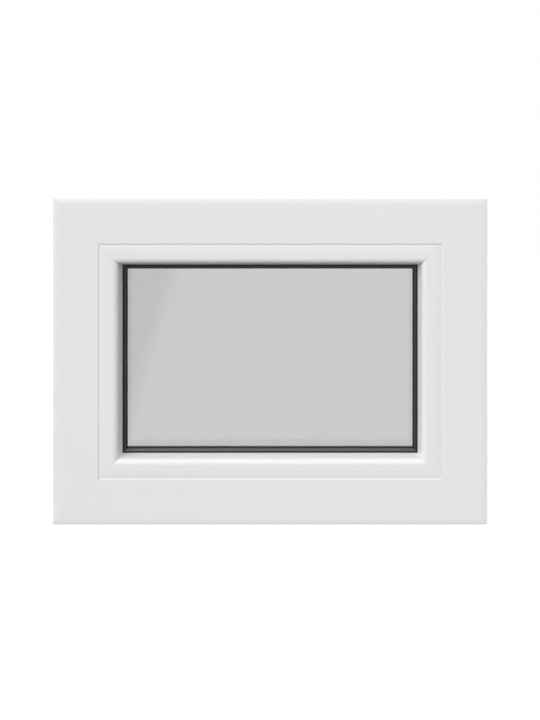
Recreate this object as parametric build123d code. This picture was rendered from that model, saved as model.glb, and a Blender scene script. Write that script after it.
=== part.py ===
from build123d import *
import os

os.makedirs("parts", exist_ok=True)

# A white plastic window: a fixed outer frame, and a glazed sash that is hung at the right
# and opens inwards. Sections are drawn in (u, v): u runs inwards from the outer edge of the
# frame, and v runs from the outdoor face (v = 0) towards the room. Millimetres throughout.

# Outer size of the frame
WIDTH = 600.0
HEIGHT = 450.0
FRAME_DEPTH = 70.0

# Frame section
FRAME_FACE = 63.1
FRAME_LIP_REACH = 23.1
FRAME_LIP = 10.0
FRAME_LIP_BEVEL = 2.2
FRAME_NOSE = 0.9
FRAME_NOSE_BEVEL = 1.8
FRAME_NOSE_FALL = 0.4
FRAME_EDGE_FALL = 0.75
FRAME_EDGE_WIDTH = 4.5
FRAME_OUTER_ROUND = 0.8
FRAME_LIP_ROUND = 0.6
FRAME_ROOM_ROUND = 1.5

# Sash section
GROOVE = 0.25
SASH_LAP = 0.8
LAP_CLEARANCE = 0.5
SASH_FACE = 30.8
SASH_SETBACK = 0.4
SASH_EDGE_WIDTH = 6.5
SASH_CORNER_ROUND = 0.4
SASH_ROLL_WIDTH = 4.1
SASH_ROLL_DEPTH = 21.5
SASH_ROLL_ROUND = 8.2
SASH_LIP = 5.0
SASH_OVERLAP = 8.0
SASH_FLANGE = 10.0
SASH_ROOM_ROUND = 3.0
SASH_EDGE_ROUND = 1.0
AIR_GAP = 14.0
FLANGE_GAP = 4.0

# Share of a falling edge that its rounding takes up
EDGE_ROUNDING = 0.75

# Welded corners: a shallow groove along each mitre
WELD_GROOVE = 1.6
WELD_DEPTH = 0.2

# Seals between frame and sash
SEAL_HEIGHT = 4.0
SEAL_WIDTH = 4.5
SEAL_INSET = 1.0
SEAL_CLEARANCE = 0.3
SEAL_ROUNDING = 0.4

# Glazing
GLASS_COVER = 15.0
GLASS_CLEARANCE = 5.0
PANE = 4.0
CAVITY = 16.0
SPACER_HEIGHT = 9.0
GASKET_GAP = 3.0
GASKET_FOOT = 4.0
GASKET_SIGHT = 6.2
GASKET_SKIN = 0.3
GASKET_CREASE = 1.3
GASKET_ROOT = 0.4
GASKET_RIB_FALL = 1.6
GASKET_RIB_ROUND = 1.2
GASKET_SKIRT = 1.6
GASKET_ROUND = 0.4
BEAD_WIDTH = 15.5
BEAD_NOSE = 4.0
BEAD_SETBACK = 2.0
BEAD_TOP = 6.0
BEAD_ROUND = 2.5

# Hinges
HINGE_INSET = 110.0
HINGE_LENGTH = 60.0
BARREL_RADIUS = 6.5
PIN_RADIUS = 3.0
PIN_CLEARANCE = 0.05
KNUCKLE_GAP = 0.3
BARREL_CLEARANCE = 0.5
LEAF = 2.0
FRAME_LEAF_WIDTH = 16.0
SASH_LEAF_WIDTH = 26.0
SASH_LEAF_INSET = 2.0
LEAF_CORNER = 4.0
LEAF_ROUND = 0.6
CAP_HEIGHT = 4.0
CAP_ROUND = 2.0

# Lock on the sash edge and keeps on the frame
LOCK_LENGTH = 230.0
LOCK_WIDTH = 16.0
LOCK_STRIP = 2.5
LOCK_DEPTH = 45.0
KEEP_INSET = 50.0
CAM_RADIUS = 4.0
CAM_HEAD = 2.5
CAM_HEAD_RADIUS = 5.5
CAM_HEIGHT = 10.0
KEEP_BASE = 2.5
KEEP_HEIGHT = 8.0
KEEP_LENGTH = 30.0
KEEP_RIB = 4.0
KEEP_MARGIN = 0.5
CAM_RELEASE = 26.0

# Handle on the room side
ROSE_WIDTH = 28.0
ROSE_HEIGHT = 66.0
ROSE_DEPTH = 11.0
ROSE_ROUND = 3.0
NECK_RADIUS = 9.0
NECK_LENGTH = 26.0
LEVER_LENGTH = 118.0
LEVER_THICKNESS = 12.0
LEVER_ROOT_RADIUS = 10.0
LEVER_TIP_RADIUS = 7.5
LEVER_ROUND = 3.5

# Fixing holes through the jambs
FIXING_RADIUS = 4.0
FIXING_INSET = 110.0
FIXING_DEPTH = 30.0
DRILL_OVERRUN = 1.0

# Where each line of the section falls, from the outer edge inwards
frame_nose_u = FRAME_FACE - SASH_LAP - LAP_CLEARANCE
frame_lip_u = frame_nose_u - FRAME_LIP_BEVEL
frame_rebate_u = FRAME_FACE - FRAME_LIP_REACH
sash_face_u = FRAME_FACE - SASH_LAP
sash_edge_u = frame_rebate_u + AIR_GAP
sash_flange_u = frame_rebate_u - SASH_OVERLAP
sash_sight_u = sash_face_u + SASH_FACE
glass_rebate_u = sash_sight_u - GLASS_COVER
glass_edge_u = glass_rebate_u + GLASS_CLEARANCE

# Where each line of the section falls, from the outdoor face to the room
sash_shoulder_v = FRAME_LIP + SEAL_HEIGHT + SEAL_CLEARANCE
sash_groove_v = FRAME_NOSE + GROOVE
sash_nose_v = SASH_SETBACK + SASH_ROLL_DEPTH
sash_lip_v = sash_nose_v + SASH_LIP
flange_front_v = FRAME_DEPTH + FLANGE_GAP
sash_room_v = flange_front_v + SASH_FLANGE
outer_pane_v = sash_lip_v + GASKET_GAP
cavity_v = outer_pane_v + PANE
inner_pane_v = cavity_v + CAVITY
bead_v = inner_pane_v + PANE + GASKET_GAP

# The hinge axis stands off the sash edge by the barrel and its clearance
hinge_u = sash_flange_u - BARREL_RADIUS - BARREL_CLEARANCE
hinge_v = flange_front_v + SASH_FLANGE / 2

LEFT = -1
RIGHT = 1
SIDES = {"bottom": 0, "left": 90, "top": 180, "right": -90}


def section(corners):
    """Closed outline in (u, v); a third number rounds that corner."""
    outline = make_face(Polyline(*[corner[:2] for corner in corners], close=True))
    for corner in corners:
        if len(corner) == 3:
            vertex = outline.vertices().sort_by_distance((corner[0], corner[1], 0))[0]
            outline = fillet(vertex, corner[2])
    return outline


def edge_round(width, fall):
    """Radius of the arc that turns a flat face into an edge that falls away."""
    return EDGE_ROUNDING * 2 * width**2 / fall


def mitred_length(outline, side, inset=0.0):
    """The outline run along one side of the window and cut at 45 degrees at both ends."""
    upright = side in ("left", "right")
    length = HEIGHT if upright else WIDTH
    across = WIDTH if upright else HEIGHT
    depth = 4 * FRAME_DEPTH
    plane = Plane(origin=(0, -FRAME_DEPTH / 2, -across / 2), x_dir=(0, 0, 1), z_dir=(-1, 0, 0))
    run = extrude(plane * outline, length / 2, both=True)
    half = length / 2 - inset * 2**0.5
    reach = outline.bounding_box().max.X
    mitre = Polyline((-half, 0), (half, 0), (half - reach, reach), (reach - half, reach), close=True)
    face_plane = Plane(origin=(0, 0, -across / 2), x_dir=(1, 0, 0), z_dir=(0, -1, 0))
    wedge = extrude(face_plane * make_face(mitre), depth, both=True)
    return Pos(0, 0, HEIGHT / 2) * Rot(0, SIDES[side], 0) * (run & wedge)


def welded_length(outline, side):
    """One side of a welded frame: its outdoor and room faces are a little lower along the weld."""
    weld = outline & Pos(0, WELD_DEPTH) * outline & Pos(0, -WELD_DEPTH) * outline
    return mitred_length(outline, side, WELD_GROOVE / 2) + mitred_length(weld, side)


def ring(outline):
    """Four mitred lengths joined into one loop."""
    loop = mitred_length(outline, "bottom")
    for side in ("left", "top", "right"):
        loop = loop + mitred_length(outline, side)
    return loop


def side_block(side, u, v, z):
    """Box beside the left or right edge, from its ranges in u, v and z."""
    size = (u[1] - u[0], v[1] - v[0], z[1] - z[0])
    centre = (side * (WIDTH / 2 - sum(u) / 2), sum(v) / 2 - FRAME_DEPTH / 2, sum(z) / 2)
    return Pos(*centre) * Box(*size)


def side_plate(side, u, v, z):
    """Hinge plate: a box with rounded corners and a softened rim on the room side."""
    plate = side_block(side, u, v, z)
    plate = fillet(plate.edges().filter_by(Axis.Y), LEAF_CORNER)
    return fillet(plate.faces().sort_by(Axis.Y)[-1].edges(), LEAF_ROUND)


def side_rod(side, u, v, z, radius):
    """Round rod across the window, between two u values."""
    centre = (side * (WIDTH / 2 - sum(u) / 2), v - FRAME_DEPTH / 2, z)
    return Pos(*centre) * Rot(0, 90, 0) * Cylinder(radius, u[1] - u[0])


def hinge_rod(z, radius):
    """Upright rod on the hinge axis between two heights."""
    centre = (WIDTH / 2 - hinge_u, hinge_v - FRAME_DEPTH / 2, sum(z) / 2)
    return Pos(*centre) * Cylinder(radius, z[1] - z[0])


def save(shape, name):
    export_step(shape, f"parts/{name}.step")


# Fixed frame: four welded lengths. The lip on the outdoor side ends in a thin bevelled nose that laps
# over the sash
frame_section = section([
    (0, FRAME_EDGE_FALL, FRAME_OUTER_ROUND),
    (FRAME_EDGE_WIDTH, 0, edge_round(FRAME_EDGE_WIDTH, FRAME_EDGE_FALL)),
    (FRAME_FACE - FRAME_NOSE_BEVEL, 0),
    (FRAME_FACE, FRAME_NOSE_FALL),
    (FRAME_FACE, FRAME_NOSE),
    (frame_nose_u, FRAME_NOSE),
    (frame_lip_u, FRAME_LIP, FRAME_LIP_ROUND),
    (frame_rebate_u, FRAME_LIP),
    (frame_rebate_u, FRAME_DEPTH, FRAME_ROOM_ROUND),
    (0, FRAME_DEPTH, FRAME_ROOM_ROUND),
])
frame = {side: welded_length(frame_section, side) for side in SIDES}

fixing_heights = (FIXING_INSET, HEIGHT - FIXING_INSET)
for name, side in (("left", LEFT), ("right", RIGHT)):
    for z in fixing_heights:
        drilled_u = (-DRILL_OVERRUN, frame_rebate_u + DRILL_OVERRUN)
        frame[name] = frame[name] - side_rod(side, drilled_u, FIXING_DEPTH, z, FIXING_RADIUS)

# Sash: its edge lies under the frame's nose and slopes like the frame's lip, so that the joint opens
# as soon as the sash moves. The outdoor face is flush and slightly crowned, and rolls over into a
# steep fall to the glass. A flange closes the room side.
edge_slope = FRAME_LIP_BEVEL / (FRAME_LIP - FRAME_NOSE)
shoulder_u = sash_face_u - edge_slope * (sash_shoulder_v - sash_groove_v)
sash_edge_fall = sash_groove_v - SASH_SETBACK
roll_u = sash_sight_u - SASH_ROLL_WIDTH
sash_section = section([
    (sash_edge_u, sash_shoulder_v, SASH_EDGE_ROUND),
    (shoulder_u, sash_shoulder_v),
    (sash_face_u, sash_groove_v, SASH_CORNER_ROUND),
    (sash_face_u + SASH_EDGE_WIDTH, SASH_SETBACK, edge_round(SASH_EDGE_WIDTH, sash_edge_fall)),
    (roll_u, SASH_SETBACK, SASH_ROLL_ROUND),
    (sash_sight_u, sash_nose_v),
    (sash_sight_u, sash_lip_v),
    (glass_rebate_u, sash_lip_v),
    (glass_rebate_u, sash_room_v, SASH_EDGE_ROUND),
    (sash_flange_u, sash_room_v, SASH_ROOM_ROUND),
    (sash_flange_u, flange_front_v, SASH_EDGE_ROUND),
    (sash_edge_u, flange_front_v),
])
sash = {side: welded_length(sash_section, side) for side in SIDES}

# Lock strip let into the edge of the left sash length, with two round cams
mid_height = HEIGHT / 2
lock_v = (LOCK_DEPTH - LOCK_WIDTH / 2, LOCK_DEPTH + LOCK_WIDTH / 2)
lock_z = (mid_height - LOCK_LENGTH / 2, mid_height + LOCK_LENGTH / 2)
lock_strip = side_block(LEFT, (sash_edge_u, sash_edge_u + LOCK_STRIP), lock_v, lock_z)
sash["left"] = sash["left"] - lock_strip

for side in SIDES:
    save(frame[side], f"frame_{side}")
    save(sash[side], f"sash_{side}")
save(lock_strip, "lock_strip")

keep_heights = {"lower": lock_z[0] + KEEP_INSET, "upper": lock_z[1] - KEEP_INSET}
cam_u = (sash_edge_u - CAM_HEIGHT, sash_edge_u)
for name, z in keep_heights.items():
    cam = side_rod(LEFT, cam_u, LOCK_DEPTH, z - CAM_RELEASE, CAM_RADIUS)
    head_u = (cam_u[0], cam_u[0] + CAM_HEAD)
    cam = cam + side_rod(LEFT, head_u, LOCK_DEPTH, z - CAM_RELEASE, CAM_HEAD_RADIUS)
    save(cam, f"lock_cam_{name}")
    keep_z = (z - KEEP_LENGTH / 2, z + KEEP_LENGTH / 2)
    rib_v = LOCK_DEPTH + CAM_RADIUS + KEEP_MARGIN
    base_u = (frame_rebate_u, frame_rebate_u + KEEP_BASE)
    keep = side_block(LEFT, base_u, (lock_v[0], rib_v + KEEP_RIB), keep_z)
    rib_u = (frame_rebate_u, frame_rebate_u + KEEP_HEIGHT)
    save(keep + side_block(LEFT, rib_u, (rib_v, rib_v + KEEP_RIB), keep_z), f"lock_keep_{name}")

# Seals: one on the back of the frame lip, one on the sash flange
seal_round = SEAL_WIDTH * SEAL_ROUNDING
lip_seal_u = frame_lip_u - SEAL_INSET
save(ring(section([
    (lip_seal_u - SEAL_WIDTH, FRAME_LIP),
    (lip_seal_u, FRAME_LIP),
    (lip_seal_u, FRAME_LIP + SEAL_HEIGHT, seal_round),
    (lip_seal_u - SEAL_WIDTH, FRAME_LIP + SEAL_HEIGHT, seal_round),
])), "frame_seal")
flange_seal_u = sash_flange_u + SEAL_INSET
flange_seal_v = FRAME_DEPTH + SEAL_CLEARANCE
save(ring(section([
    (flange_seal_u, flange_front_v),
    (flange_seal_u, flange_seal_v, seal_round),
    (flange_seal_u + SEAL_WIDTH, flange_seal_v, seal_round),
    (flange_seal_u + SEAL_WIDTH, flange_front_v),
])), "sash_seal")

# Sealed double glazing: two panes, with a spacer frame between their edges
pane_size = (WIDTH - 2 * glass_edge_u, PANE, HEIGHT - 2 * glass_edge_u)
for name, v in (("outer_pane", outer_pane_v), ("inner_pane", inner_pane_v)):
    save(Pos(0, v + PANE / 2 - FRAME_DEPTH / 2, mid_height) * Box(*pane_size), name)
save(ring(section([
    (glass_edge_u, cavity_v),
    (glass_edge_u + SPACER_HEIGHT, cavity_v),
    (glass_edge_u + SPACER_HEIGHT, inner_pane_v),
    (glass_edge_u, inner_pane_v),
])), "glass_spacer")

# Outdoor gasket: a foot under the sash lip, a skin along the sash, a deep crease, a rounded rib,
# and a thin skirt on the glass
gasket_u = sash_sight_u + GASKET_SIGHT
skin_u = sash_sight_u + GASKET_SKIN
crease_u = skin_u + GASKET_CREASE
skirt_u = gasket_u - GASKET_SKIRT
save(ring(section([
    (sash_sight_u - GASKET_FOOT, sash_lip_v),
    (sash_sight_u, sash_lip_v),
    (sash_sight_u, sash_nose_v),
    (skin_u, sash_nose_v),
    (skin_u, sash_lip_v - GASKET_ROOT),
    (crease_u, sash_lip_v - GASKET_ROOT),
    (crease_u, sash_nose_v, GASKET_ROUND),
    (skirt_u, sash_nose_v + GASKET_RIB_FALL, GASKET_RIB_ROUND),
    (skirt_u, outer_pane_v - GASKET_ROOT),
    (gasket_u, outer_pane_v - GASKET_ROOT),
    (gasket_u, outer_pane_v),
    (sash_sight_u - GASKET_FOOT, outer_pane_v),
])), "outer_gasket")

# Room side: four glazing beads, and a gasket between them and the glass
bead_u = glass_rebate_u + BEAD_WIDTH
bead_room_v = sash_room_v - BEAD_SETBACK
bead_section = section([
    (glass_rebate_u, bead_v),
    (bead_u, bead_v),
    (bead_u, bead_v + BEAD_NOSE, BEAD_ROUND),
    (glass_rebate_u + BEAD_TOP, bead_room_v, BEAD_ROUND),
    (glass_rebate_u, bead_room_v),
])
for side in SIDES:
    save(mitred_length(bead_section, side), f"glazing_bead_{side}")
save(ring(section([
    (bead_u - GASKET_FOOT - GASKET_SIGHT, inner_pane_v + PANE),
    (bead_u + SEAL_INSET, inner_pane_v + PANE),
    (bead_u, bead_v),
    (bead_u - GASKET_FOOT - GASKET_SIGHT, bead_v),
])), "inner_gasket")

# Hinges: the frame leaf carries the lower knuckle, and the sash leaf stands on it
arm_u = (hinge_u, sash_flange_u + SASH_LEAF_INSET)
for name, z in (("lower", HINGE_INSET), ("upper", HEIGHT - HINGE_INSET)):
    foot = (z - HINGE_LENGTH / 2, z - KNUCKLE_GAP / 2)
    head = (z + KNUCKLE_GAP / 2, z + HINGE_LENGTH / 2)
    whole = (foot[0], head[1])
    bore = hinge_rod(whole, PIN_RADIUS + PIN_CLEARANCE)

    plate_u = (hinge_u - BARREL_RADIUS - FRAME_LEAF_WIDTH, hinge_u - BARREL_RADIUS)
    frame_leaf = side_plate(RIGHT, plate_u, (FRAME_DEPTH, FRAME_DEPTH + LEAF), whole)
    post_u = (plate_u[1] - LEAF_CORNER, hinge_u + BARREL_RADIUS / 2)
    frame_leaf = frame_leaf + side_block(RIGHT, post_u, (FRAME_DEPTH, hinge_v), foot)
    frame_leaf = frame_leaf + hinge_rod(foot, BARREL_RADIUS)
    save(frame_leaf - bore, f"hinge_frame_leaf_{name}")

    plate_u = (arm_u[1], arm_u[1] + SASH_LEAF_WIDTH)
    plate_v = (sash_room_v, sash_room_v + LEAF)
    sash_leaf = side_plate(RIGHT, plate_u, plate_v, whole)
    sash_leaf = sash_leaf + side_block(RIGHT, (arm_u[0], arm_u[1] + LEAF_CORNER), plate_v, head)
    sash_leaf = sash_leaf + hinge_rod(head, BARREL_RADIUS)
    save(sash_leaf - bore, f"hinge_sash_leaf_{name}")

    pin_top = whole[1] + KNUCKLE_GAP
    foot_cap = hinge_rod((whole[0] - CAP_HEIGHT, whole[0]), BARREL_RADIUS)
    foot_cap = fillet(foot_cap.edges().filter_by(GeomType.CIRCLE).sort_by(Axis.Z)[0], CAP_ROUND)
    head_cap = hinge_rod((pin_top, pin_top + CAP_HEIGHT), BARREL_RADIUS)
    head_cap = fillet(head_cap.edges().filter_by(GeomType.CIRCLE).sort_by(Axis.Z)[-1], CAP_ROUND)
    save(hinge_rod((whole[0], pin_top), PIN_RADIUS) + foot_cap + head_cap, f"hinge_pin_{name}")

# Handle on the left sash length: a rose, and a lever that points down when the window is shut
handle_x = -WIDTH / 2 + (sash_flange_u + glass_rebate_u) / 2
room_y = sash_room_v - FRAME_DEPTH / 2
room_plane = Plane(origin=(handle_x, room_y, mid_height), x_dir=(-1, 0, 0), z_dir=(0, 1, 0))
rose = extrude(room_plane * SlotOverall(ROSE_HEIGHT, ROSE_WIDTH, rotation=90), ROSE_DEPTH)
rose = fillet(rose.faces().sort_by(Axis.Y)[-1].edges(), ROSE_ROUND)
save(rose, "handle_rose")

neck_y = room_y + ROSE_DEPTH
neck_plane = Plane(origin=(handle_x, neck_y, mid_height), x_dir=(-1, 0, 0), z_dir=(0, 1, 0))
neck = extrude(neck_plane * Circle(NECK_RADIUS), NECK_LENGTH)
tip = LEVER_LENGTH - LEVER_TIP_RADIUS
lever_ends = Circle(LEVER_ROOT_RADIUS) + Pos(0, -tip) * Circle(LEVER_TIP_RADIUS)
lever_plane = neck_plane.offset(NECK_LENGTH - LEVER_THICKNESS / 2)
lever = extrude(lever_plane * make_hull(lever_ends.edges()), LEVER_THICKNESS)
lever = fillet(lever.faces().filter_by(Axis.Y).edges(), LEVER_ROUND)
save(neck + lever, "handle_lever")
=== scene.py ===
# %% [markdown]
# # A small white window, seen from outdoors
# The window is a fixed plastic frame and a glazed sash that opens into the room. Its solids come
# from CAD at their real size, so this lesson only dresses them: every surface gets its finish,
# small fasteners are modelled where the CAD has none, and a plain studio is put around it.
# All sizes are metres, +Z is up, and the outdoor face looks along -Y.

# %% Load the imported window
import math
import bpy
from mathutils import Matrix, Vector


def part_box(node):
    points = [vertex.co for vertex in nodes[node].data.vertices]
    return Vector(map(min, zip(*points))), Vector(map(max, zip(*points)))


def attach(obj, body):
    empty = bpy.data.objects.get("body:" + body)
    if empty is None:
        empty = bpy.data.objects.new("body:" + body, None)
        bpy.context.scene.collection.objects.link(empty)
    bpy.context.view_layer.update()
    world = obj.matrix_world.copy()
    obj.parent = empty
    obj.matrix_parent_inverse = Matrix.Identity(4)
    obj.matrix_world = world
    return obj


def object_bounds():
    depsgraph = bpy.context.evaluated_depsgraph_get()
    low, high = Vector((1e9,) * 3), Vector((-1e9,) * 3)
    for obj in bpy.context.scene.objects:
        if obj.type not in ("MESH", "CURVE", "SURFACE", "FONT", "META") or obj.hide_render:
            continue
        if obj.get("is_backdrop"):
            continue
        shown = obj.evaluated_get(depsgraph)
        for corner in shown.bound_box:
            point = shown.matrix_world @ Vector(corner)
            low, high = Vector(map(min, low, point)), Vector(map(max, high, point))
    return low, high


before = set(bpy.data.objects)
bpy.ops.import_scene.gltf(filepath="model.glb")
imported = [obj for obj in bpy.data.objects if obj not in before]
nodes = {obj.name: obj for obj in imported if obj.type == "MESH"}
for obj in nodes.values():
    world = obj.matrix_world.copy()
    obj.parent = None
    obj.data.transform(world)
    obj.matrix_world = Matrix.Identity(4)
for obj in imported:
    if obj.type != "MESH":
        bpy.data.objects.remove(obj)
scene = bpy.context.scene
cad_low, cad_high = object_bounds()
bpy.ops.object.select_all(action="DESELECT")
print("loaded", len(nodes), "pieces; CAD box", [round(v, 3) for v in cad_high - cad_low])

# %% [markdown]
# ## Building a finish
# A finish that is one flat colour looks like a computer picture. Each finish here starts from
# Blender's Principled shader and gets a little unevenness in colour, gloss and height from noise.
# The noise reads Object coordinates: every piece sits at the origin, so the pattern keeps its
# real scale and runs on from one piece to the next.

# %% A new finish and its noise
def new_finish(name):
    """A material with its node tree and its Principled shader."""
    material = bpy.data.materials.new(name)
    material.use_nodes = True
    return material, material.node_tree, material.node_tree.nodes["Principled BSDF"]


def grain(tree, scale, stretch=(1.0, 1.0, 1.0), detail=3.0):
    """Noise on Object coordinates, from 0 to 1, stretched where stretch is small."""
    place = tree.nodes.new("ShaderNodeTexCoord")
    mapping = tree.nodes.new("ShaderNodeMapping")
    mapping.inputs["Scale"].default_value = stretch
    noise = tree.nodes.new("ShaderNodeTexNoise")
    noise.inputs["Scale"].default_value = scale
    noise.inputs["Detail"].default_value = detail
    tree.links.new(place.outputs["Object"], mapping.inputs["Vector"])
    tree.links.new(mapping.outputs["Vector"], noise.inputs["Vector"])
    return noise.outputs["Fac"]


print("helpers: a new finish and its grain")

# %% [markdown]
# ## What the noise does
# Noise is a grey value from 0 to 1. It could go straight into a socket, but real finishes vary only
# a little, so each helper gives the noise a narrow meaning: two close tones of colour, a small
# range of roughness, or a bump of a real depth. The last helper puts a finish on CAD pieces.

# %% Colour, gloss, height and dressing
def span(tree, value, start, end, low=0.0, high=1.0, shape="LINEAR"):
    """Goes from low to high while the given value goes from start to end."""
    ranged = tree.nodes.new("ShaderNodeMapRange")
    ranged.interpolation_type = shape
    ranged.inputs["From Min"].default_value = start
    ranged.inputs["From Max"].default_value = end
    ranged.inputs["To Min"].default_value = low
    ranged.inputs["To Max"].default_value = high
    tree.links.new(value, ranged.inputs["Value"])
    return ranged.outputs["Result"]


def tones(tree, factor, dark, light):
    """Colour that wanders between two close tones."""
    ramp = tree.nodes.new("ShaderNodeValToRGB")
    ramp.color_ramp.elements[0].color = (*dark, 1.0)
    ramp.color_ramp.elements[1].color = (*light, 1.0)
    tree.links.new(factor, ramp.inputs["Fac"])
    return ramp.outputs["Color"]


def paint(tree, shader, colour):
    """Uses a node's colour as the base colour."""
    tree.links.new(colour, shader.inputs["Base Color"])


def gloss(tree, shader, factor, rough):
    """Roughness that wanders between two values."""
    tree.links.new(span(tree, factor, 0.0, 1.0, *rough), shader.inputs["Roughness"])


def relief(tree, shader, height, strength, depth):
    """Bump of a real depth in metres."""
    bump = tree.nodes.new("ShaderNodeBump")
    bump.inputs["Strength"].default_value = strength
    bump.inputs["Distance"].default_value = depth
    tree.links.new(height, bump.inputs["Height"])
    tree.links.new(bump.outputs["Normal"], shader.inputs["Normal"])


def dress(names, material):
    """Gives the named CAD pieces one finish."""
    for name in names:
        nodes[name].data.materials.clear()
        nodes[name].data.materials.append(material)
    print("dressed", len(names), "pieces with", material.name)


print("helpers: colour, gloss, height and dressing")

# %% [markdown]
# ## Painted shade along the weld lines
# The corners of the frame and the sash are melted together and trimmed, which leaves a groove along
# each mitre. The groove's shade is painted into the colour as a fine darker line. The line could be
# drawn on an image, but a formula is sharper: on a mitre a point is as far from the upright edge of
# the frame as from the level one.

# %% Painted shade line along the mitres
# Painted shade: the darker tone and the widths of the line that stands in for the shade in each mitre
# groove.
GROOVE_SHADE_TONE = (0.750, 0.758, 0.783)
GROOVE_SHADE_CORE = 0.0006
GROOVE_SHADE_FADE = 0.0015

frame_low, frame_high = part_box("frame_top")
half_width = (frame_high.x - frame_low.x) / 2
half_height = frame_high.z / 2


def maths(tree, operation, *values):
    """One Math node, whose inputs are numbers or the outputs of other nodes."""
    node = tree.nodes.new("ShaderNodeMath")
    node.operation = operation
    for socket, value in zip(node.inputs, values):
        if isinstance(value, float):
            socket.default_value = value
        else:
            tree.links.new(value, socket)
    return node.outputs["Value"]


def split(tree, vector):
    """The X, Y and Z outputs of a vector."""
    node = tree.nodes.new("ShaderNodeSeparateXYZ")
    tree.links.new(vector, node.inputs["Vector"])
    return node.outputs


def blend(tree, factor, first, tone):
    """Colour that goes from the first one to a plain tone as the factor goes from 0 to 1."""
    mix = tree.nodes.new("ShaderNodeMix")
    mix.data_type = "RGBA"
    colours = [socket for socket in mix.inputs if socket.type == "RGBA"]
    colours[1].default_value = (*tone, 1.0)
    tree.links.new(factor, mix.inputs["Factor"])
    tree.links.new(first, colours[0])
    return [socket for socket in mix.outputs if socket.type == "RGBA"][0]


def painted_weld_shade(tree, colour):
    """The given colour, with painted shade along the mitres of the four corners."""
    place = split(tree, tree.nodes.new("ShaderNodeTexCoord").outputs["Object"])
    beside = maths(tree, "ABSOLUTE", place["X"])
    above = maths(tree, "ABSOLUTE", maths(tree, "SUBTRACT", place["Z"], half_height))
    lead = maths(tree, "SUBTRACT", maths(tree, "SUBTRACT", beside, above), half_width - half_height)
    line = span(tree, maths(tree, "ABSOLUTE", lead), GROOVE_SHADE_FADE, GROOVE_SHADE_CORE)
    return blend(tree, line, colour, GROOVE_SHADE_TONE)


print("mitres start at the corners of", round(2 * half_width, 3), "by", round(2 * half_height, 3), "m")

# %% [markdown]
# ## White window plastic
# Window profile is pushed through a die, so its skin is smooth and satin, with very faint lines
# along its length. Stretching the noise along the length gives those lines. A level length and an
# upright one are stretched along different axes, so the finish is made twice by one function.

# %% White plastic, along the level and the upright lengths
WHITE_DARK = (0.765, 0.773, 0.799)
WHITE_LIGHT = (0.779, 0.787, 0.813)
WHITE_CLOUDS = 6.0
WHITE_SHEEN = 40.0
WHITE_ROUGH = (0.34, 0.42)
WHITE_SPECULAR = 0.4
DRAWN_LINES = 900.0
DRAWN_STRETCH = 0.01
DRAWN_STRENGTH = 0.06
DRAWN_DEPTH = 0.00005


def white_plastic(name, stretch):
    """Satin plastic whose drawn lines run along the axis where stretch is small."""
    material, tree, shader = new_finish(name)
    clouds = tones(tree, grain(tree, WHITE_CLOUDS), WHITE_DARK, WHITE_LIGHT)
    # The mitres get a painted shade line along their grooves.
    paint(tree, shader, painted_weld_shade(tree, clouds))
    gloss(tree, shader, grain(tree, WHITE_SHEEN), WHITE_ROUGH)
    relief(tree, shader, grain(tree, DRAWN_LINES, stretch), DRAWN_STRENGTH, DRAWN_DEPTH)
    shader.inputs["Specular IOR Level"].default_value = WHITE_SPECULAR
    return material


white_level = white_plastic("white_plastic_level", (DRAWN_STRETCH, 1.0, 1.0))
white_upright = white_plastic("white_plastic_upright", (1.0, 1.0, DRAWN_STRETCH))
for family in ("frame", "sash", "glazing_bead"):
    dress([f"{family}_top", f"{family}_bottom"], white_level)
    dress([f"{family}_left", f"{family}_right"], white_upright)

# %% [markdown]
# ## Black rubber
# The gaskets and seals are extruded rubber, black with a dull shine, so that its ribs show where light
# falls on them and its creases go black by themselves. The faces that look up are painted paler, as
# painted light from above. It could be painted on the lower gasket alone, but the direction of the
# surface finds every such face by itself.

# %% Rubber of the gaskets and seals
RUBBER_DARK = (0.012, 0.012, 0.012)
RUBBER_LIGHT = (0.020, 0.020, 0.020)
RUBBER_CLOUDS = 60.0
RUBBER_SHEEN = 180.0
RUBBER_ROUGH = (0.30, 0.40)
RUBBER_SPECULAR = 0.4
RUBBER_GRAIN = 1400.0
RUBBER_STRENGTH = 0.15
RUBBER_DEPTH = 0.00005
# Painted light: a paler tone on the rubber faces that look up, as if lit from above.
TOPLIGHT_TONE = (0.13, 0.13, 0.132)
TOPLIGHT_START = 0.25
TOPLIGHT_FULL = 0.85

rubber, tree, shader = new_finish("black_rubber")
black = tones(tree, grain(tree, RUBBER_CLOUDS), RUBBER_DARK, RUBBER_LIGHT)
facing = split(tree, tree.nodes.new("ShaderNodeNewGeometry").outputs["Normal"])
# The paler tone grows as the face turns up: painted light from above.
painted_toplight = span(tree, facing["Z"], TOPLIGHT_START, TOPLIGHT_FULL)
paint(tree, shader, blend(tree, painted_toplight, black, TOPLIGHT_TONE))
gloss(tree, shader, grain(tree, RUBBER_SHEEN), RUBBER_ROUGH)
relief(tree, shader, grain(tree, RUBBER_GRAIN), RUBBER_STRENGTH, RUBBER_DEPTH)
shader.inputs["Specular IOR Level"].default_value = RUBBER_SPECULAR
dress(["outer_gasket", "inner_gasket", "frame_seal", "sash_seal"], rubber)

# %% [markdown]
# ## Glass
# The glazing is two panes with a sealed space. Each pane is float glass with a slight grey tint, so
# two of them turn a white background to pale grey. Such panes carry a light coating that mirrors
# more than plain glass does, and the shader's own coat layer gives that. Float glass is never
# perfectly flat: a very broad, shallow bump bends reflections as the real waviness does.

# %% Grey tinted glass
GLASS_DARK = (0.725, 0.735, 0.730)
GLASS_LIGHT = (0.735, 0.745, 0.740)
GLASS_CLOUDS = 2.0
GLASS_IOR = 1.5
GLASS_COAT = 0.8
WAVE_SCALE = 5.0
WAVE_STRENGTH = 0.05
WAVE_DEPTH = 0.0004

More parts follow.
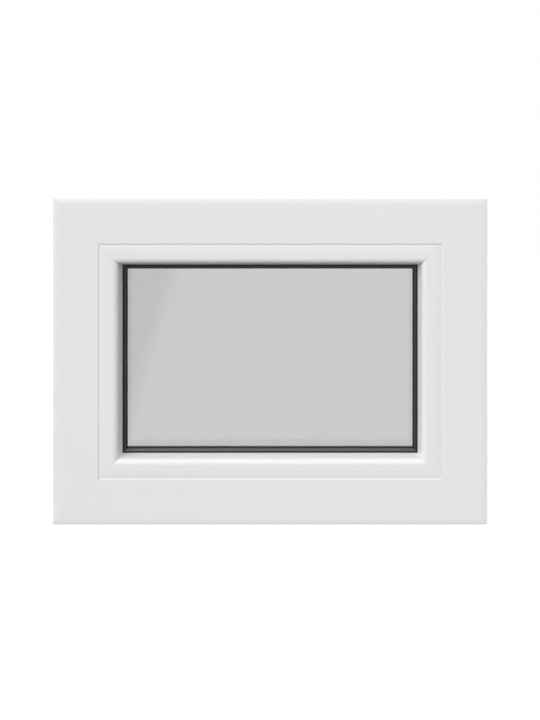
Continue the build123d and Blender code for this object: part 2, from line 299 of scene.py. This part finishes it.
glass, tree, shader = new_finish("pale_glass")
paint(tree, shader, tones(tree, grain(tree, GLASS_CLOUDS, detail=1.0), GLASS_DARK, GLASS_LIGHT))
relief(tree, shader, grain(tree, WAVE_SCALE, detail=0.0), WAVE_STRENGTH, WAVE_DEPTH)
shader.inputs["Roughness"].default_value = 0.0
shader.inputs["IOR"].default_value = GLASS_IOR
shader.inputs["Transmission Weight"].default_value = 1.0
shader.inputs["Coat Weight"].default_value = GLASS_COAT
shader.inputs["Coat Roughness"].default_value = 0.0
dress(["outer_pane", "inner_pane"], glass)

# %% [markdown]
# ## Bare metals
# The spacer between the panes is mill-finished aluminium. The lock strip, its cams and its keeps
# are zinc-plated steel, brighter and a little blotchy. Both are one kind of finish with different
# tones, so one function makes them. The steel is rolled, so its grain is stretched upright.

# %% Spacer and lock steel
METAL_CLOUDS = 45.0
METAL_SHEEN = 300.0
METAL_GRAIN = 1200.0
METAL_STRENGTH = 0.1
METAL_DEPTH = 0.00004
ALUMINIUM_TONES = ((0.60, 0.61, 0.62), (0.68, 0.69, 0.70))
ALUMINIUM_ROUGH = (0.30, 0.42)
ALUMINIUM_STRETCH = (1.0, 1.0, 1.0)
STEEL_TONES = ((0.52, 0.53, 0.54), (0.66, 0.67, 0.67))
STEEL_ROUGH = (0.24, 0.40)
STEEL_STRETCH = (1.0, 1.0, 0.05)
ENDS = ("lower", "upper")


def metal(name, dark_and_light, rough, stretch):
    """Bare metal with a fine grain along the axis where stretch is small."""
    material, tree, shader = new_finish(name)
    paint(tree, shader, tones(tree, grain(tree, METAL_CLOUDS), *dark_and_light))
    gloss(tree, shader, grain(tree, METAL_SHEEN, stretch), rough)
    relief(tree, shader, grain(tree, METAL_GRAIN, stretch), METAL_STRENGTH, METAL_DEPTH)
    shader.inputs["Metallic"].default_value = 1.0
    return material


spacer_metal = metal("spacer_aluminium", ALUMINIUM_TONES, ALUMINIUM_ROUGH, ALUMINIUM_STRETCH)
lock_steel = metal("zinc_steel", STEEL_TONES, STEEL_ROUGH, STEEL_STRETCH)
lock_parts = [f"lock_{part}_{end}" for part in ("cam", "keep") for end in ENDS]
dress(["glass_spacer"], spacer_metal)
dress(["lock_strip"] + lock_parts, lock_steel)

# %% [markdown]
# ## White paint
# The hinges and the handle are metal under white powder coat, which is baked on and flows into a
# fine orange peel. The peel could be modelled, but it is so shallow that a bump of round noise with
# little detail shows it as well.

# %% Powder coat of the hinges and the handle
PAINT_DARK = (0.77, 0.775, 0.785)
PAINT_LIGHT = (0.79, 0.795, 0.805)
PAINT_CLOUDS = 12.0
PAINT_SHEEN = 90.0
PAINT_ROUGH = (0.28, 0.36)
PEEL_SCALE = 520.0
PEEL_STRENGTH = 0.12
PEEL_DEPTH = 0.00012

white_paint, tree, shader = new_finish("white_paint")
paint(tree, shader, tones(tree, grain(tree, PAINT_CLOUDS), PAINT_DARK, PAINT_LIGHT))
gloss(tree, shader, grain(tree, PAINT_SHEEN), PAINT_ROUGH)
relief(tree, shader, grain(tree, PEEL_SCALE, detail=1.0), PEEL_STRENGTH, PEEL_DEPTH)
hinge_parts = [f"hinge_{part}_{end}" for part in ("frame_leaf", "sash_leaf", "pin") for end in ENDS]
dress(hinge_parts + ["handle_rose", "handle_lever"], white_paint)

# %% [markdown]
# ## One screw
# The hinge leaves, the lock strip and the keeps are held by small screws. A head could be a plain
# disc, but its rim and recess catch the light even when it is small. So one head is modelled well:
# a short cylinder whose rim is bevelled to a low dome, with a cross cut into it.

# %% One screw head with a cross recess
HEAD_RADIUS = 0.0032
HEAD_HEIGHT = 0.0009
HEAD_SIDES = 32
DOME_WIDTH = 0.0006
DOME_STEPS = 3
CROSS_LENGTH = 0.0036
CROSS_WIDTH = 0.0008
CROSS_DEPTH = 0.0005
SMOOTH_ANGLE = math.radians(35)

bpy.ops.mesh.primitive_cylinder_add(vertices=HEAD_SIDES, radius=HEAD_RADIUS, depth=HEAD_HEIGHT,
                                    location=(0, 0, HEAD_HEIGHT / 2))
screw = bpy.context.object
screw.name = "screw"
bpy.ops.object.transform_apply(location=True, rotation=True, scale=True)
dome = screw.modifiers.new("dome", "BEVEL")
dome.width = DOME_WIDTH
dome.segments = DOME_STEPS
dome.limit_method = "ANGLE"
bpy.ops.object.modifier_apply(modifier="dome")
for size in ((CROSS_LENGTH, CROSS_WIDTH), (CROSS_WIDTH, CROSS_LENGTH)):
    bpy.ops.mesh.primitive_cube_add(size=1.0, location=(0, 0, HEAD_HEIGHT))
    bar = bpy.context.object
    bar.scale = (*size, 2 * CROSS_DEPTH)
    bpy.ops.object.transform_apply(location=True, rotation=True, scale=True)
    bpy.ops.object.select_all(action="DESELECT")
    bpy.context.view_layer.objects.active = screw
    cut = screw.modifiers.new("cross", "BOOLEAN")
    cut.operation = "DIFFERENCE"
    cut.object = bar
    bpy.ops.object.modifier_apply(modifier="cross")
    bpy.data.objects.remove(bar, do_unlink=True)
screw.select_set(True)
bpy.ops.object.shade_smooth_by_angle(angle=SMOOTH_ANGLE)
print("screw head:", len(screw.data.polygons), "faces")

# %% [markdown]
# ## Screws on the plates
# The head is copied to every place, with its own mesh, and each copy rides on the body that its
# plate belongs to. The places could be typed in, but they are measured from the plates' own boxes,
# so the heads still sit on the faces they hold when the window's size changes.

# %% Copies on the hinges, the keeps and the lock strip
FACING = {
    "room": (math.radians(-90), 0, 0),
    "left": (0, math.radians(-90), 0),
    "right": (0, math.radians(90), 0),
}
LEAF_EDGE = 0.010
SASH_LEAF_COLUMN = 0.010
FRAME_LEAF_COLUMN = 0.006
FRAME_LEAF_THICK = 0.002
STRIP_EDGE = 0.010
KEEP_BASE_THICK = 0.0025
KEEP_COLUMN = 0.0055
KEEP_SPACING = 0.009

frame_leaf_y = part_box("frame_left")[1].y + FRAME_LEAF_THICK


def add_screws(name, places, facing, body, material):
    """Copies of the head, numbered from 1, that ride on one body."""
    for number, place in enumerate(places, start=1):
        copy = screw.copy()
        copy.data = screw.data.copy()
        copy.name = f"{name}_{number}"
        scene.collection.objects.link(copy)
        copy.rotation_euler = FACING[facing]
        copy.location = place
        bpy.ops.object.select_all(action="DESELECT")
        copy.select_set(True)
        bpy.context.view_layer.objects.active = copy
        bpy.ops.object.transform_apply(location=True, rotation=True, scale=True)
        copy.data.materials.clear()
        copy.data.materials.append(material)
        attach(copy, body)
    print(name, "placed", len(places), "times on the", body)


for end in ENDS:
    low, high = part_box(f"hinge_sash_leaf_{end}")
    heights = (low.z + LEAF_EDGE, high.z - LEAF_EDGE)
    places = [(low.x + SASH_LEAF_COLUMN, high.y, z) for z in heights]
    add_screws(f"sash_leaf_screw_{end}", places, "room", "sash", white_paint)
    low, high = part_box(f"hinge_frame_leaf_{end}")
    heights = (low.z + LEAF_EDGE, high.z - LEAF_EDGE)
    places = [(high.x - FRAME_LEAF_COLUMN, frame_leaf_y, z) for z in heights]
    add_screws(f"frame_leaf_screw_{end}", places, "room", "frame", white_paint)
    low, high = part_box(f"lock_keep_{end}")
    middle = (low.z + high.z) / 2
    heights = (middle - KEEP_SPACING, middle + KEEP_SPACING)
    places = [(low.x + KEEP_BASE_THICK, low.y + KEEP_COLUMN, z) for z in heights]
    add_screws(f"keep_screw_{end}", places, "right", "frame", lock_steel)
low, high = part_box("lock_strip")
heights = (low.z + STRIP_EDGE, (low.z + high.z) / 2, high.z - STRIP_EDGE)
places = [(low.x, (low.y + high.y) / 2, z) for z in heights]
add_screws("strip_screw", places, "left", "sash", lock_steel)
bpy.data.objects.remove(screw, do_unlink=True)

# %% [markdown]
# ## The camera
# The picture is taken square-on with an upright lens that is raised and shifted, as architects'
# cameras do, so the sides stay parallel while a sliver of the frame's top shows. Tilting a plain
# camera would make the sides lean. The scale comes from the frame's width in the picture, and the
# distance sets how much of the frame's depth shows.

# %% Camera at the picture's viewpoint
IMAGE_WIDTH, IMAGE_HEIGHT = 540, 720
FRAME_LEFT_PX, FRAME_RIGHT_PX = 52.8, 487.4
FRAME_TOP_PX, FRAME_BOTTOM_PX = 198.5, 524.9
HORIZON_PX = 170.0
CAMERA_DISTANCE = 1.4
SENSOR = 36.0

scale_px = (FRAME_RIGHT_PX - FRAME_LEFT_PX) / (2 * half_width)
middle_px = ((FRAME_LEFT_PX + FRAME_RIGHT_PX) / 2, (FRAME_TOP_PX + FRAME_BOTTOM_PX) / 2)
focal_px = scale_px * CAMERA_DISTANCE

camera_data = bpy.data.cameras.new("camera")
camera = bpy.data.objects.new("camera", camera_data)
scene.collection.objects.link(camera)
camera_data.sensor_width = SENSOR
camera_data.lens = focal_px / IMAGE_HEIGHT * SENSOR
camera_data.shift_y = (HORIZON_PX - IMAGE_HEIGHT / 2) / IMAGE_HEIGHT
camera.location = (
    (IMAGE_WIDTH / 2 - middle_px[0]) / scale_px,
    cad_low.y - CAMERA_DISTANCE,
    half_height + (middle_px[1] - HORIZON_PX) / scale_px,
)
camera.rotation_euler = (math.radians(90), 0, 0)
scene.camera = camera
print("camera at", [round(v, 3) for v in camera.location], "lens", round(camera_data.lens, 1), "mm")

# %% [markdown]
# ## The white room
# A white product on white is told from its ground only by soft shading. One even light would lose
# the slopes, so the world is stronger towards both sides, as between two white walls. Rays that the
# camera, a reflection or the glass sends out see plain white instead, so the background stays white
# without more light on the window.

# %% World and view settings
WHITE = (1.0, 1.0, 1.0, 1.0)
ROOM_LEVEL = 0.77
ROOM_TINT = (0.995, 1.0, 0.97, 1.0)
ROOM_UP = 0.02
ROOM_SIDE = 0.46


def seen_directly(tree):
    """1 for rays from the camera, off a glossy surface or through glass, and 0 for the rest."""
    path = tree.nodes.new("ShaderNodeLightPath")
    total = path.outputs["Is Camera Ray"]
    for kind in ("Is Glossy Ray", "Is Transmission Ray"):
        total = maths(tree, "MAXIMUM", total, path.outputs[kind])
    return total


scene.view_settings.view_transform = "Standard"
world = bpy.data.worlds.new("white_room")
scene.world = world
world.use_nodes = True
tree = world.node_tree
tree.nodes.clear()
towards = split(tree, tree.nodes.new("ShaderNodeTexCoord").outputs["Generated"])
sideways = maths(tree, "MULTIPLY", towards["X"], towards["X"])
level = maths(tree, "MULTIPLY_ADD", towards["Z"], ROOM_UP, ROOM_LEVEL)
level = maths(tree, "MULTIPLY_ADD", sideways, ROOM_SIDE, level)
room = tree.nodes.new("ShaderNodeBackground")
room.inputs["Color"].default_value = ROOM_TINT
tree.links.new(level, room.inputs["Strength"])
white = tree.nodes.new("ShaderNodeBackground")
white.inputs["Color"].default_value = WHITE
white.inputs["Strength"].default_value = 1.0
either = tree.nodes.new("ShaderNodeMixShader")
out = tree.nodes.new("ShaderNodeOutputWorld")
tree.links.new(seen_directly(tree), either.inputs["Fac"])
tree.links.new(room.outputs["Background"], either.inputs[1])
tree.links.new(white.outputs["Background"], either.inputs[2])
tree.links.new(either.outputs["Shader"], out.inputs["Surface"])
print("room level", ROOM_LEVEL, "ahead and", round(ROOM_LEVEL + ROOM_SIDE, 2), "at the sides")

# %% [markdown]
# ## The floor
# The floor lies as far below as a floor lies below a window. It could be painted white, but then it
# would throw much light up on the window. So it is grey, and glows for the rays that see it
# directly: it reads as white and still keeps the window's faint shadow.

# %% A pale floor
FLOOR_DROP = 0.9
FLOOR_SIZE = 30.0
FLOOR_TONE = 0.14
FLOOR_SPREAD = 0.02
FLOOR_CLOUDS = 1.5
FLOOR_ROUGHNESS = 0.9
FLOOR_GLOW = 0.86

bpy.ops.mesh.primitive_plane_add(size=FLOOR_SIZE, location=(0, 0, -FLOOR_DROP))
floor = bpy.context.object
floor.name = "floor"
floor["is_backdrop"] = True
pale, tree, shader = new_finish("pale_floor")
floor_tones = [(FLOOR_TONE * share,) * 3 for share in (1 - FLOOR_SPREAD, 1 + FLOOR_SPREAD)]
paint(tree, shader, tones(tree, grain(tree, FLOOR_CLOUDS), *floor_tones))
shader.inputs["Roughness"].default_value = FLOOR_ROUGHNESS
shader.inputs["Specular IOR Level"].default_value = 0.0
shader.inputs["Emission Color"].default_value = WHITE
glow = maths(tree, "MULTIPLY", seen_directly(tree), FLOOR_GLOW)
tree.links.new(glow, shader.inputs["Emission Strength"])
floor.data.materials.append(pale)
print("floor", FLOOR_DROP, "m below the sill")

# %% [markdown]
# ## Two soft lamps
# The key lamp stands in front, to the left and above: it lights the slopes that face up and left
# and leaves those that face down and right in shade, which draws every moulding. A lamp behind
# does the same for the room side. Sun lamps light both ends of the window evenly, and a wide angle
# makes their shadows as soft as those of a large softbox. The lamp behind is hidden from
# reflections and from the glass, or its bright disc would show in the panes.

# %% Key lamp and back lamp
KEY_DIRECTION = Vector((-0.49, -0.72, 0.49))
BACK_DIRECTION = Vector((0.47, 0.88, 0.08))
KEY_LEVEL = 0.58
BACK_LEVEL = 0.50
LAMP_ANGLE = math.radians(60)


def soft_lamp(name, direction, level):
    """A wide sun that shines from the given direction; level 1 turns white into white."""
    lamp = bpy.data.lights.new(name, "SUN")
    lamp.energy = level * math.pi
    lamp.angle = LAMP_ANGLE
    holder = bpy.data.objects.new(name, lamp)
    holder.rotation_euler = direction.to_track_quat("Z", "Y").to_euler()
    scene.collection.objects.link(holder)
    print(name, "level", level)
    return holder


soft_lamp("key_lamp", KEY_DIRECTION, KEY_LEVEL)
back_lamp = soft_lamp("back_lamp", BACK_DIRECTION, BACK_LEVEL)
back_lamp.visible_glossy = False
back_lamp.visible_transmission = False

# %% [markdown]
# ## A dark card for the glass
# Glass is seen by what it mirrors. Photographers hang a dark card beside the camera, so that one
# side of a pane mirrors it and looks a shade deeper. The card here is seen by reflections only. Its
# slanting edge is placed by following two points of the picture to the glass and on to the card.

# %% Card beside the camera
CARD_Y = -2.0
CARD_TOP_PX = (189.0, 268.0)
CARD_FOOT_PX = (150.0, 395.0)
CARD_WIDTH = 0.9
CARD_RISE = 0.35

glass_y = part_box("outer_pane")[0].y


def mirrored(point_px):
    """Where the sight line through a pixel meets the card after the glass mirrors it."""
    to_glass = glass_y - camera.location.y
    stretch = (to_glass + glass_y - CARD_Y) / focal_px
    x = camera.location.x + (point_px[0] - IMAGE_WIDTH / 2) * stretch
    z = camera.location.z - (point_px[1] - HORIZON_PX) * stretch
    return Vector((x, CARD_Y, z))


card_top = mirrored(CARD_TOP_PX)
card_foot = mirrored(CARD_FOOT_PX)
along = (card_top - card_foot).normalized()
across = along.cross(Vector((0, 1, 0)))
card_length = (card_top - card_foot).length + 2 * CARD_RISE
bpy.ops.mesh.primitive_plane_add(size=1.0, rotation=(math.radians(90), 0, 0))
card = bpy.context.object
card.name = "dark_card"
card.scale = (CARD_WIDTH, card_length, 1.0)
bpy.ops.object.transform_apply(location=False, rotation=True, scale=True)
card.rotation_euler = (0, math.atan2(along.x, along.z), 0)
card.location = (card_top + card_foot) / 2 + across * (CARD_WIDTH / 2)
card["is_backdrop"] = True
for ray in ("camera", "diffuse", "transmission", "volume_scatter", "shadow"):
    setattr(card, f"visible_{ray}", False)
print("card at", [round(v, 2) for v in card.location], "length", round(card_length, 2))

# %% [markdown]
# ## The card's soft edge
# A card with a hard edge would draw a line across the pane. Its edge fades out instead, because
# the card turns clear there. Its darkness is a faint glow of its own, so no lamp can brighten it.

# %% Dark finish that fades at one edge
CARD_SOFT = 0.10
CARD_TONE = 0.02
BLACK = (0.0, 0.0, 0.0, 1.0)

dark, tree, shader = new_finish("dark_card")
place = split(tree, tree.nodes.new("ShaderNodeTexCoord").outputs["Object"])
fade = span(tree, place["X"], CARD_WIDTH / 2, CARD_WIDTH / 2 - CARD_SOFT, shape="SMOOTHSTEP")
tree.links.new(fade, shader.inputs["Alpha"])
shader.inputs["Base Color"].default_value = BLACK
shader.inputs["Specular IOR Level"].default_value = 0.0
shader.inputs["Emission Color"].default_value = WHITE
shader.inputs["Emission Strength"].default_value = CARD_TONE
card.data.materials.append(dark)
print("card fades over", CARD_SOFT, "m")

# %% [markdown]
# ## The size after dressing
# Dressing must not change the window's size. The box of the bare CAD pieces was kept at the start.
# The box of all that shows now is measured in the same way and printed, as the CAD box was at the
# start.

# %% Size of the dressed window
low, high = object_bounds()
print("size", [round(v, 4) for v in high - low])
